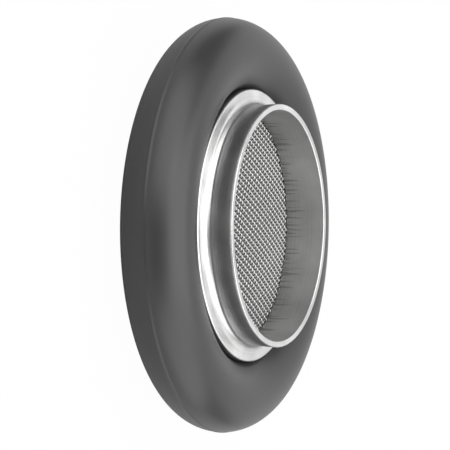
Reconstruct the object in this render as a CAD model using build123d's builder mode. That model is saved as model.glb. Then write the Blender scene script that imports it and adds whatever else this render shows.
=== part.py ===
from build123d import *
from math import hypot
import os

# A vacuum flange centering ring: a turned metal ring, the cord ring that seals
# round it, and the wire screen that is snapped across its bore.
# +Z is the axis of the ring, the origin is the middle of its mid-plane, and
# every size is in millimetres.

# Driving dimensions of the turned ring
lip_diameter = 17.0         # slips into the recess of a 16 mm vacuum flange
spigot_wall = 0.4           # wall of the thin spigot at each end
spigot_reach = 2.1          # from the shoulder's face out to the lip
lip_land = 0.7              # cylinder behind each lip that guides the flange
relief_depth = 0.08         # shallow waist between the land and the root
root_fillet = 0.6           # sweep from the spigot up to the shoulder's face
shoulder_width = 3.9        # gap that the shoulder keeps between two flanges
shoulder_step = 1.05        # shoulder's height above the lip
shoulder_edge = 0.14        # chamfer on the shoulder's rims
lip_edge = 0.06             # chamfer on both corners of each lip

# Driving dimensions of the cord ring
cord_diameter = 5.33        # thickness of the rubber cord
groove_depth = 0.37         # how far the cord sits into the shoulder
cord_clearance = 0.02       # between the cord and its groove
flash_width = 0.16          # line that the mould leaves round the outside
flash_height = 0.03

# Driving dimensions of the wire screen
screen_height = 1.05        # above the ring's mid-plane
screen_thickness = 0.28     # over two crossing wires
screen_core = 0.14          # wall that the wires' crests stand out of
screen_grip = 0.25          # how deep the screen reaches into the bore's wall
screen_clearance = 0.02     # between the screen's rim and its slot
ledge_height = 0.25         # ledge in the bore that the screen lies on
ledge_width = 1.2
wire_pitch = 1.2            # from one wire to the next
wire_width = 0.46
crest_width = 0.34
crest_gap = 0.1             # flat left between the ends of two crests

# What follows from them
lip_radius = lip_diameter / 2
bore_radius = lip_radius - spigot_wall
shoulder_half = shoulder_width / 2
half_length = shoulder_half + spigot_reach
shoulder_radius = lip_radius + shoulder_step
cord_radius = cord_diameter / 2
seat_radius = cord_radius + cord_clearance
cord_centre = shoulder_radius - groove_depth + seat_radius
screen_radius = bore_radius + screen_grip - screen_clearance
weave_radius = bore_radius - ledge_height


# The turned ring: half of its section is drawn and mirrored, the cord's seat
# is cut into it, the screen gets its ledge and its slot, and the section is
# spun round the axis.
land_end = half_length - lip_land
root_start = shoulder_half + root_fillet
slot_width = screen_thickness + 2 * screen_clearance
ledge_top = screen_height - slot_width / 2
with BuildPart() as centering_ring:
    with BuildSketch(Plane.XZ) as ring_section:
        with BuildLine():
            Polyline(
                (bore_radius, 0),
                (bore_radius, half_length),
                (lip_radius, half_length),
                (lip_radius, land_end),
            )
            ThreePointArc(
                (lip_radius, land_end),
                (lip_radius - relief_depth, (land_end + root_start) / 2),
                (lip_radius, root_start),
            )
            CenterArc((lip_radius + root_fillet, root_start), root_fillet, 180, 90)
            Polyline(
                (lip_radius + root_fillet, shoulder_half),
                (shoulder_radius, shoulder_half),
                (shoulder_radius, 0),
            )
            mirror(about=Plane.XZ)
        make_face()
        with Locations((cord_centre, 0)):
            Circle(seat_radius, mode=Mode.SUBTRACT)
        chamfer(ring_section.vertices().group_by(Axis.X)[-1], shoulder_edge)
        chamfer(ring_section.vertices().group_by(Axis.Y)[-1], lip_edge)
        chamfer(ring_section.vertices().group_by(Axis.Y)[0], lip_edge)
        with Locations((bore_radius, ledge_top - ledge_width / 2)):
            Rectangle(2 * ledge_height, ledge_width)
        with Locations((bore_radius, screen_height)):
            Rectangle(2 * screen_grip, slot_width, mode=Mode.SUBTRACT)
    revolve(axis=Axis.Z)


# The cord ring: a round section with the fine line of its mould's parting
# plane round the outside.
with BuildPart() as o_ring:
    with BuildSketch(Plane.XZ):
        with Locations((cord_centre, 0)):
            Circle(cord_radius)
        with Locations((cord_centre + cord_radius, 0)):
            Rectangle(2 * flash_height, flash_width)
    revolve(axis=Axis.Z)


# The wire screen: a wall with the woven square gaps, crests where each wire
# passes over the one it crosses, and a pressed rim that lies on the ledge and
# reaches into the slot.
# A wire lies on the axis each way, so the crossings are at whole pitches.
steps = range(-int(bore_radius / wire_pitch) - 1, int(bore_radius / wire_pitch) + 2)
gap_side = wire_pitch - wire_width
crest_length = wire_pitch - crest_gap
crest_height = (screen_thickness - screen_core) / 2
gap_corner = hypot(gap_side / 2, gap_side / 2)
crest_corner = hypot(crest_length / 2, crest_width / 2)
gap_centres = []
along_x = []
along_y = []
for column in steps:
    for row in steps:
        x = column * wire_pitch
        y = row * wire_pitch
        middle = wire_pitch / 2
        if hypot(x + middle, y + middle) + gap_corner < weave_radius:
            gap_centres.append((x + middle, y + middle))
        if hypot(x, y) + crest_corner < weave_radius:
            wires = along_x if (column + row) % 2 == 0 else along_y
            wires.append((x, y))

# One crest: a low arch as long as the wire's rise over its neighbour
with BuildPart() as crest:
    with BuildSketch(Plane.XZ):
        with BuildLine():
            ThreePointArc((-crest_length / 2, 0), (0, crest_height), (crest_length / 2, 0))
            Line((crest_length / 2, 0), (-crest_length / 2, 0))
        make_face()
    extrude(amount=crest_width / 2, both=True)

core_top = screen_height + screen_core / 2
core_bottom = screen_height - screen_core / 2
with BuildPart() as mesh_screen:
    with BuildSketch(Plane.XY.offset(core_bottom)):
        Circle(screen_radius)
        with Locations(*gap_centres):
            Rectangle(gap_side, gap_side, mode=Mode.SUBTRACT)
    extrude(amount=screen_core)
    with BuildSketch(Plane.XY.offset(screen_height)):
        Circle(screen_radius)
        Circle(weave_radius, mode=Mode.SUBTRACT)
    extrude(amount=screen_thickness / 2, both=True)
    for over, under, turn in ((along_x, along_y, 0), (along_y, along_x, 90)):
        with Locations(*[Location((x, y, core_top), (0, 0, turn)) for x, y in over]):
            add(crest.part)
        with Locations(*[Location((x, y, core_bottom), (180, 0, turn)) for x, y in under]):
            add(crest.part)


os.makedirs("parts", exist_ok=True)
for name, piece in (
    ("centering_ring", centering_ring),
    ("o_ring", o_ring),
    ("mesh_screen", mesh_screen),
):
    piece.part.label = name
    export_step(piece.part, "parts/" + name + ".step")
print("gaps in the screen:", len(gap_centres))
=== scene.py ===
from math import cos, pi, radians, sin, sqrt
import bpy
from mathutils import Matrix, Vector


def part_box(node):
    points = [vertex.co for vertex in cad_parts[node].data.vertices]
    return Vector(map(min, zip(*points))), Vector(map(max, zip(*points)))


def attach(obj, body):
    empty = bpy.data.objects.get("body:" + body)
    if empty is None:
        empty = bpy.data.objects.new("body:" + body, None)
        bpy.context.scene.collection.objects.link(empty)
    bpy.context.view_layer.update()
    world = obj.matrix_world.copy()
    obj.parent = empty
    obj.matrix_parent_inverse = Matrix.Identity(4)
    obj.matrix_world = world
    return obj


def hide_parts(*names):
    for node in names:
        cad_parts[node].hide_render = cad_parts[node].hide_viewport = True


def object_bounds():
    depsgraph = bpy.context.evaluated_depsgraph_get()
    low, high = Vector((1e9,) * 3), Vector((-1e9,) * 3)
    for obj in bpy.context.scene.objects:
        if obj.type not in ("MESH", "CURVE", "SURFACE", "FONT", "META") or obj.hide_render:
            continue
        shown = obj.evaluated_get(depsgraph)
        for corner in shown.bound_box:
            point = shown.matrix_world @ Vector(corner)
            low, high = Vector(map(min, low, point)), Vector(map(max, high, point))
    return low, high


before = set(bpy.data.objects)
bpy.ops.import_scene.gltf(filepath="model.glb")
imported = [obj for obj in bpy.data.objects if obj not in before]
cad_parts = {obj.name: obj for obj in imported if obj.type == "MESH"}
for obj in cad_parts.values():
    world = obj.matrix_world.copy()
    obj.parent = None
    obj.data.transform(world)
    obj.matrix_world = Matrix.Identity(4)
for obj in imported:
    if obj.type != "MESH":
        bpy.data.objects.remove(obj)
cad_box = [list(corner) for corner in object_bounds()]


# The view: the ring lies flat, and the camera looks across it from a little
# above, turned on its side so that the ring's axis points to the right.
MM = 0.001
VIEW_TURN = radians(160)        # of the camera about the ring's axis
VIEW_RISE = radians(23.1)       # of the camera above the ring's plane
VIEW_ROLL = radians(0.75)
VIEW_AIM = -0.09 * MM           # of the picture's middle, along the ring's axis
VIEW_DISTANCE = 600 * MM
VIEW_LENS = 685                 # a long lens, in millimetres
VIEW_NEAR, VIEW_FAR = 0.01, 10  # what the camera sees, in metres

scene = bpy.context.scene
scene.view_settings.view_transform = "Standard"
toward = Vector((cos(VIEW_TURN), sin(VIEW_TURN), 0))
back = toward * cos(VIEW_RISE) + Vector((0, 0, sin(VIEW_RISE)))
right = (Vector((0, 0, 1)) - back * back.z).normalized()
up = back.cross(right)
turned_right = right * cos(VIEW_ROLL) + up * sin(VIEW_ROLL)
turned_up = back.cross(turned_right)
camera = bpy.data.objects.new("camera", bpy.data.cameras.new("camera"))
scene.collection.objects.link(camera)
camera.matrix_world = Matrix.Translation(back * VIEW_DISTANCE + right * VIEW_AIM) @ Matrix(
    (turned_right, turned_up, back)
).transposed().to_4x4()
camera.data.lens = VIEW_LENS
camera.data.clip_start, camera.data.clip_end = VIEW_NEAR, VIEW_FAR
scene.camera = camera


# The shader maths: a socket in a wrapper, so that values are worked out with
# plain operators, and one method that adds any other node. An input named
# atN is the node's socket number N.
class Value:
    def __init__(self, tree, socket):
        self.tree, self.socket = tree, socket

    def node(self, kind, settings=None, **inputs):
        made = self.tree.nodes.new(kind)
        for name, setting in (settings or {}).items():
            setattr(made, name, setting)
        for name, given in inputs.items():
            socket = made.inputs[int(name[2:])] if name.startswith("at") else made.inputs[name]
            if isinstance(given, Value):
                self.tree.links.new(given.socket, socket)
            else:
                socket.default_value = given
        return made

    def output(self, kind, pick=0, settings=None, **inputs):
        return Value(self.tree, self.node(kind, settings, **inputs).outputs[pick])

    def drive(self, socket):
        self.tree.links.new(self.socket, socket)

    def math(self, operation, other=0.0, swap=False):
        first, second = (other, self) if swap else (self, other)
        return self.output("ShaderNodeMath", 0, {"operation": operation}, at0=first, at1=second)

    def kept_in_range(self):
        return self.math("MAXIMUM", 0.0).math("MINIMUM", 1.0)

    def between(self, low, high):
        return self.output("ShaderNodeMix", 2, {"data_type": "RGBA"}, at0=self, at6=low, at7=high)

    def __add__(self, other):
        return self.math("ADD", other)

    def __sub__(self, other):
        return self.math("SUBTRACT", other)

    def __rsub__(self, other):
        return self.math("SUBTRACT", other, swap=True)

    def __mul__(self, other):
        return self.math("MULTIPLY", other)

    __radd__ = __add__
    __rmul__ = __mul__


def finish(name):
    """A new material, its shader, and its tree wrapped for the maths."""
    material = bpy.data.materials.new(name)
    material.use_nodes = True
    shader = material.node_tree.nodes["Principled BSDF"]
    return material, shader, Value(material.node_tree, shader.inputs["Roughness"])


# The studio: a table under the ring, a room that only the camera sees white,
# soft panels at both sides of the camera with a dark gap between them, and
# one panel behind the ring and one above it.
TABLE_SIZE = 3.0
TABLE_WHITE = 0.98              # how much of the table the camera sees as plain white
ROOM_LIGHT = 0.10               # how brightly the room lights the ring
PANEL_DISTANCE = 0.6
table_top = cad_box[0][2]
bpy.ops.object.select_all(action="DESELECT")
bpy.ops.mesh.primitive_grid_add(
    size=TABLE_SIZE, x_subdivisions=4, y_subdivisions=4, location=(0, 0, table_top)
)
table = bpy.context.object
table.name = "table"

table_paint, shader, tree = finish("table_paint")
shader.inputs["Base Color"].default_value = (0.5, 0.5, 0.5, 1)
shader.inputs["Roughness"].default_value = 0.9
painted = Value(tree.tree, shader.outputs[0])
glow = tree.output("ShaderNodeEmission", Color=(1, 1, 1, 1), Strength=1.0)
seen = tree.output("ShaderNodeLightPath", "Is Camera Ray") * TABLE_WHITE
mixed = tree.output("ShaderNodeMixShader", at0=seen, at1=painted, at2=glow)
mixed.drive(table_paint.node_tree.nodes["Material Output"].inputs[0])
table.data.materials.append(table_paint)

world = bpy.data.worlds.new("room")
scene.world = world
world.use_nodes = True
room = Value(world.node_tree, None)
ambient = world.node_tree.nodes["Background"]
ambient.inputs["Color"].default_value = (1, 1, 1, 1)
ambient.inputs["Strength"].default_value = ROOM_LIGHT
dim = Value(world.node_tree, ambient.outputs[0])
white = room.output("ShaderNodeBackground", Color=(1, 1, 1, 1), Strength=1.0)
seen = room.output("ShaderNodeLightPath", "Is Camera Ray")
mixed = room.output("ShaderNodeMixShader", at0=seen, at1=dim, at2=white)
mixed.drive(world.node_tree.nodes["World Output"].inputs[0])


def panel(name, turn, rise, width, height, power):
    """A soft light that faces the ring, turned from the camera and raised, in
    degrees. Its sides are in metres and its power is in watts."""
    way = Matrix.Rotation(radians(turn), 3, "Z") @ toward
    way = way * cos(radians(rise)) + Vector((0, 0, sin(radians(rise))))
    lamp = bpy.data.lights.new(name, "AREA")
    lamp.shape = "RECTANGLE"
    lamp.size, lamp.size_y = width, height
    lamp.energy = power
    holder = bpy.data.objects.new(name, lamp)
    scene.collection.objects.link(holder)
    facing = way.to_track_quat("Z", "Y").to_matrix().to_4x4()
    holder.matrix_world = Matrix.Translation(way * PANEL_DISTANCE) @ facing


panel("upper_panel", -52, 15, 0.85, 1.1, 7.0)
panel("lower_panel", 80, 15, 0.85, 1.1, 6.4)
panel("far_panel", 180, 30, 1.0, 0.9, 2.5)
panel("front_panel", 0, 82, 0.7, 0.7, 4.2)


# The turned ring: one piece of stainless steel with a thin spigot at each
# end, a shoulder that keeps the flanges apart, and a seat for the rubber.
SHOULDER_STEP = 1.05 * MM       # from the lip up to the shoulder
SPIGOT_WALL = 0.4 * MM
SHOULDER_WIDTH = 3.9 * MM
FLASH = 0.03 * MM               # the ridge on the rubber ring
SEAT_CLEARANCE = 0.02 * MM
LIP_EDGE = 0.06 * MM
RIM_EDGE = 0.14 * MM            # of the shoulder's corners
ROOT = 0.52 * MM                # the fillet from the spigot to the shoulder
LAND = 0.2 * MM                 # the lip's full diameter, before the relief
RELIEF = 0.08 * MM
SEAT_RIM = 0.08 * MM            # the shoulder's straight edge at the seat
SLOT_FLOOR = 0.89 * MM
SLOT_ROOF = 1.21 * MM
SLOT_DEPTH = 0.25 * MM
LEDGE_FOOT = -0.31 * MM
SMOOTH_BELOW = radians(35)
SAME_POINT = 0.001 * MM
ROUND_TURN = 288                # faces round the ring
LIP_STEPS, RIM_STEPS, ROOT_STEPS = 4, 5, 14
RELIEF_STEPS, SEAT_STEPS = 12, 20

shoulder_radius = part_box("centering_ring")[1][0]
half_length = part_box("centering_ring")[1][2]
lip_radius = shoulder_radius - SHOULDER_STEP
bore_radius = lip_radius - SPIGOT_WALL
shoulder_half = SHOULDER_WIDTH / 2
cord_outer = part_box("o_ring")[1][0] - FLASH
cord_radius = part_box("o_ring")[1][2]
cord_centre = cord_outer - cord_radius
seat_radius = cord_radius + SEAT_CLEARANCE
seat_half = sqrt(seat_radius**2 - (cord_centre - shoulder_radius) ** 2)
root_start = shoulder_half + ROOT
land_end = half_length - LAND


def arc(middle, radius, start, sweep, count):
    """Points (radius, height) along an arc, both ends included."""
    points = []
    for step in range(count + 1):
        angle = radians(start + sweep * step / count)
        points.append((middle[0] + radius * cos(angle), middle[1] + radius * sin(angle)))
    return points


def turned(name, outline):
    """Spins a closed outline of (radius, height) points round the axis: a
    circle is drawn at the first point and drawn out to each of the others."""
    bpy.ops.object.select_all(action="DESELECT")
    bpy.ops.mesh.primitive_circle_add(vertices=ROUND_TURN, radius=outline[0][0], location=(0, 0, 0))
    piece = bpy.context.object
    piece.name = name
    bpy.ops.object.mode_set(mode="EDIT")
    bpy.ops.mesh.select_all(action="SELECT")
    bpy.ops.transform.translate(value=(0, 0, outline[0][1]))
    for (near, low), (far, high) in zip(outline, outline[1:] + outline[:1]):
        bpy.ops.mesh.extrude_region_move(TRANSFORM_OT_translate={"value": (0, 0, high - low)})
        bpy.ops.transform.resize(value=(far / near, far / near, 1), center_override=(0, 0, high))
    bpy.ops.mesh.select_all(action="SELECT")
    bpy.ops.mesh.remove_doubles(threshold=SAME_POINT)
    bpy.ops.mesh.normals_make_consistent(inside=False)
    bpy.ops.object.mode_set(mode="OBJECT")
    bpy.ops.object.shade_smooth_by_angle(angle=SMOOTH_BELOW)
    return piece


# one spigot, from the inside of its lip to the seat's rim
relief_points = []
for step in range(1, RELIEF_STEPS):
    along = step / RELIEF_STEPS
    relief_points.append(
        (lip_radius - RELIEF * (1 - cos(pi * along)) / 2, land_end + (root_start - land_end) * along)
    )
front_half = (
    arc((bore_radius + LIP_EDGE, half_length - LIP_EDGE), LIP_EDGE, 180, -90, LIP_STEPS)
    + arc((lip_radius - LIP_EDGE, half_length - LIP_EDGE), LIP_EDGE, 90, -90, LIP_STEPS)
    + [(lip_radius, land_end)]
    + relief_points
    + arc((lip_radius - RELIEF + ROOT, root_start), ROOT, 180, 90, ROOT_STEPS)
    + arc((shoulder_radius - RIM_EDGE, shoulder_half - RIM_EDGE), RIM_EDGE, 90, -90, RIM_STEPS)
    + [(shoulder_radius, seat_half + SEAT_RIM)]
)
rear_half = [(radius, -height) for radius, height in reversed(front_half)]
seat = []
for step in range(1, SEAT_STEPS):
    height = seat_half * (1 - 2 * step / SEAT_STEPS)
    seat.append((cord_centre - sqrt(seat_radius**2 - height**2), height))
# the slot for the screen's rim, and the ledge that the screen lies on
bore_steps = [
    (bore_radius, LEDGE_FOOT),
    (bore_radius - SLOT_DEPTH, LEDGE_FOOT),
    (bore_radius - SLOT_DEPTH, SLOT_FLOOR),
    (bore_radius + SLOT_DEPTH, SLOT_FLOOR),
    (bore_radius + SLOT_DEPTH, SLOT_ROOF),
    (bore_radius, SLOT_ROOF),
]
ring = turned("turned_ring", front_half + seat + rear_half + bore_steps)

ring_steel, shader, tree = finish("ring_steel")
place = tree.output("ShaderNodeTexCoord", "Object")
apart = tree.node("ShaderNodeSeparateXYZ", Vector=place)
across, along, height = (Value(tree.tree, socket) for socket in apart.outputs)
flat = tree.output("ShaderNodeCombineXYZ", X=across, Y=along)
reach = tree.output("ShaderNodeVectorMath", "Value", {"operation": "LENGTH"}, at0=flat)

# the tool's marks follow the distance from the axis and the height
path = reach * 9000 + height * 7000
marks = tree.output("ShaderNodeTexNoise", 0, {"noise_dimensions": "1D"}, W=path, Scale=2.2, Detail=4.0)
stains = tree.output("ShaderNodeTexNoise", Vector=place, Scale=420.0, Detail=3.0)
bump = tree.output("ShaderNodeBump", Strength=0.16, Distance=0.02 * MM, Height=marks)
bump.drive(shader.inputs["Normal"])
(marks * 0.1 + stains * 0.08 + 0.22).drive(shader.inputs["Roughness"])
tone = (marks + stains * 1.6 - 0.8).between((0.52, 0.52, 0.52, 1), (0.79, 0.79, 0.785, 1))

# painted reflection: fine dark streaks along the axis, painted into the bore wall as the
# screen's reflection in it, in the bore only, and fewer and fewer towards the lip
REFLECTION_STREAKS_START, REFLECTION_STREAKS_END = 1.1 * MM, 3.2 * MM
inside = reach.math("LESS_THAN", bore_radius + 0.1 * MM)
above = height.math("GREATER_THAN", REFLECTION_STREAKS_START)
crowded = ((REFLECTION_STREAKS_END - height) * (1 / (REFLECTION_STREAKS_END - REFLECTION_STREAKS_START))).kept_in_range()
drawn_out = tree.output("ShaderNodeMapping", Vector=place, Scale=(8000, 8000, 260))
hairs = tree.output("ShaderNodeTexNoise", Vector=drawn_out, Scale=1.0, Detail=2.0)
painted_reflection_streaks = ((hairs - 0.71 + crowded * 0.25) * 12).kept_in_range() * inside * above
# painted reflection: the streaks darken the steel's colour in the bore
(painted_reflection_streaks * 0.5).between(tone, (0.16, 0.16, 0.16, 1)).drive(shader.inputs["Base Color"])
shader.inputs["Metallic"].default_value = 1.0
shader.inputs["Anisotropic"].default_value = 0.85
ring.data.materials.append(ring_steel)
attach(ring, "root")
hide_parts("centering_ring")


# The rubber ring: a round black cord moulded in one piece, with the fine
# ridge of the mould's parting plane round its outside.
FLASH_OPENING = 1.6             # degrees of the cord's section on each side
CORD_STEPS = 92                 # faces round the cord's section
flash = [(cord_outer + FLASH, -FLASH), (cord_outer + FLASH, FLASH)]
cord_section = arc((cord_centre, 0), cord_radius, FLASH_OPENING, 360 - 2 * FLASH_OPENING, CORD_STEPS)
rubber_ring = turned("rubber_ring", cord_section + flash)

moulded_rubber, shader, tree = finish("moulded_rubber")
place = tree.output("ShaderNodeTexCoord", "Object")
grain = tree.output("ShaderNodeTexNoise", Vector=place, Scale=5200.0, Detail=5.0)
bloom = tree.output("ShaderNodeTexNoise", Vector=place, Scale=160.0, Detail=3.0)
bump = tree.output("ShaderNodeBump", Strength=0.12, Distance=0.02 * MM, Height=grain)
bump.drive(shader.inputs["Normal"])
(bloom * 0.10 + grain * 0.05 + 0.31).drive(shader.inputs["Roughness"])
bloom.between((0.020, 0.020, 0.021, 1), (0.030, 0.030, 0.031, 1)).drive(shader.inputs["Base Color"])
rubber_ring.data.materials.append(moulded_rubber)
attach(rubber_ring, "root")
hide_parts("o_ring")


# The wire screen: a plain weave of fine stainless wire, punched to a disc
# and snapped into the slot, which leaves it slightly domed.
WIRE_PITCH = 0.30 * MM
WIRE_THICK = 0.14 * MM
WIRE_FACES = 6                  # round the wire
RINGS_PER_PITCH = 5
SCREEN_GRIP = 0.20 * MM         # of the screen's edge inside the slot
SCREEN_DOME = 0.5 * MM
screen_radius = bore_radius + SCREEN_GRIP
screen_height = (SLOT_FLOOR + SLOT_ROOF) / 2
wires_each_way = int(screen_radius / WIRE_PITCH)

bpy.ops.object.select_all(action="DESELECT")
bpy.ops.mesh.primitive_cylinder_add(
    vertices=WIRE_FACES, radius=WIRE_THICK / 2, depth=2 * screen_radius, rotation=(0, pi / 2, 0)
)
bpy.ops.object.transform_apply(location=False, rotation=True, scale=False)
long_wire = bpy.context.object
bpy.ops.object.mode_set(mode="EDIT")
bpy.ops.mesh.select_all(action="DESELECT")
bpy.ops.mesh.select_mode(type="EDGE")
bpy.ops.object.mode_set(mode="OBJECT")
for edge in long_wire.data.edges:
    ends = [long_wire.data.vertices[corner].co for corner in edge.vertices]
    edge.select = abs(ends[0].x - ends[1].x) > screen_radius
bpy.ops.object.mode_set(mode="EDIT")
bpy.ops.mesh.subdivide(number_cuts=int(2 * screen_radius / WIRE_PITCH * RINGS_PER_PITCH))
bpy.ops.object.mode_set(mode="OBJECT")


def weave(name, quarter_turn, painted_brightness):
    """Lays crimped copies of the wire side by side, trims each to the disc
    and presses them all to the dome. An attribute on each point says how far it
    stands out of the cloth, times a painted brightness for that set of wires; it paints shade into the
    crossings."""
    laid = []
    for number in range(-wires_each_way, wires_each_way + 1):
        across = number * WIRE_PITCH
        half = sqrt(screen_radius**2 - across**2)
        crimp = (WIRE_THICK / 2) * (1 if (number + quarter_turn) % 2 == 0 else -1)
        wire = bpy.data.objects.new(name, long_wire.data.copy())
        scene.collection.objects.link(wire)
        crest_height_shade = wire.data.attributes.new("crest_height_shade", "FLOAT", "POINT")
        for corner in wire.data.vertices:
            corner.co.z += crimp * cos(pi * corner.co.x / WIRE_PITCH)
            corner.co.y += across
            crest_height_shade.data[corner.index].value = abs(corner.co.z) / WIRE_THICK * painted_brightness
        bpy.ops.object.select_all(action="DESELECT")
        wire.select_set(True)
        bpy.context.view_layer.objects.active = wire
        bpy.ops.object.mode_set(mode="EDIT")
        for way in (1, -1):
            bpy.ops.mesh.select_all(action="SELECT")
            bpy.ops.mesh.bisect(
                plane_co=(way * half, 0, 0), plane_no=(way, 0, 0), clear_outer=True, use_fill=True
            )
        bpy.ops.object.mode_set(mode="OBJECT")
        laid.append(wire)
    for wire in laid:
        wire.select_set(True)
    bpy.ops.object.join()
    cloth = bpy.context.object
    cloth.name = name
    cloth.data.transform(Matrix.Rotation(quarter_turn * pi / 2, 4, "Z"))
    for corner in cloth.data.vertices:
        out = (corner.co.x**2 + corner.co.y**2) / screen_radius**2
        corner.co.z += screen_height + SCREEN_DOME * (1 - out)
    bpy.ops.object.shade_smooth()
    return cloth


# painted shade: one set of wires is painted darker than the other, to dim its glints
WARP_PAINTED_BRIGHTNESS, WEFT_PAINTED_BRIGHTNESS = 0.5, 1.0
warp = weave("warp_wires", 0, WARP_PAINTED_BRIGHTNESS)
weft = weave("weft_wires", 1, WEFT_PAINTED_BRIGHTNESS)
bpy.data.objects.remove(long_wire)

bright_wire, shader, tree = finish("bright_wire")
place = tree.output("ShaderNodeTexCoord", "Object")
drawn = tree.output("ShaderNodeTexNoise", Vector=place, Scale=2600.0, Detail=3.0)
(drawn * 0.16 + 0.2).drive(shader.inputs["Roughness"])
# painted shade: the crossings below the crests are painted dark where the wires shade each other, and
# the crests are painted bright
painted_weave_shade = tree.output("ShaderNodeAttribute", "Fac", {"attribute_name": "crest_height_shade"}).math("POWER", 2.0)
painted_weave_shade.between((0.07, 0.07, 0.07, 1), (1.0, 1.0, 0.99, 1)).drive(shader.inputs["Base Color"])
shader.inputs["Metallic"].default_value = 0.4
for cloth in (warp, weft):
    cloth.data.materials.append(bright_wire)
    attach(cloth, "root")
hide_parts("mesh_screen")
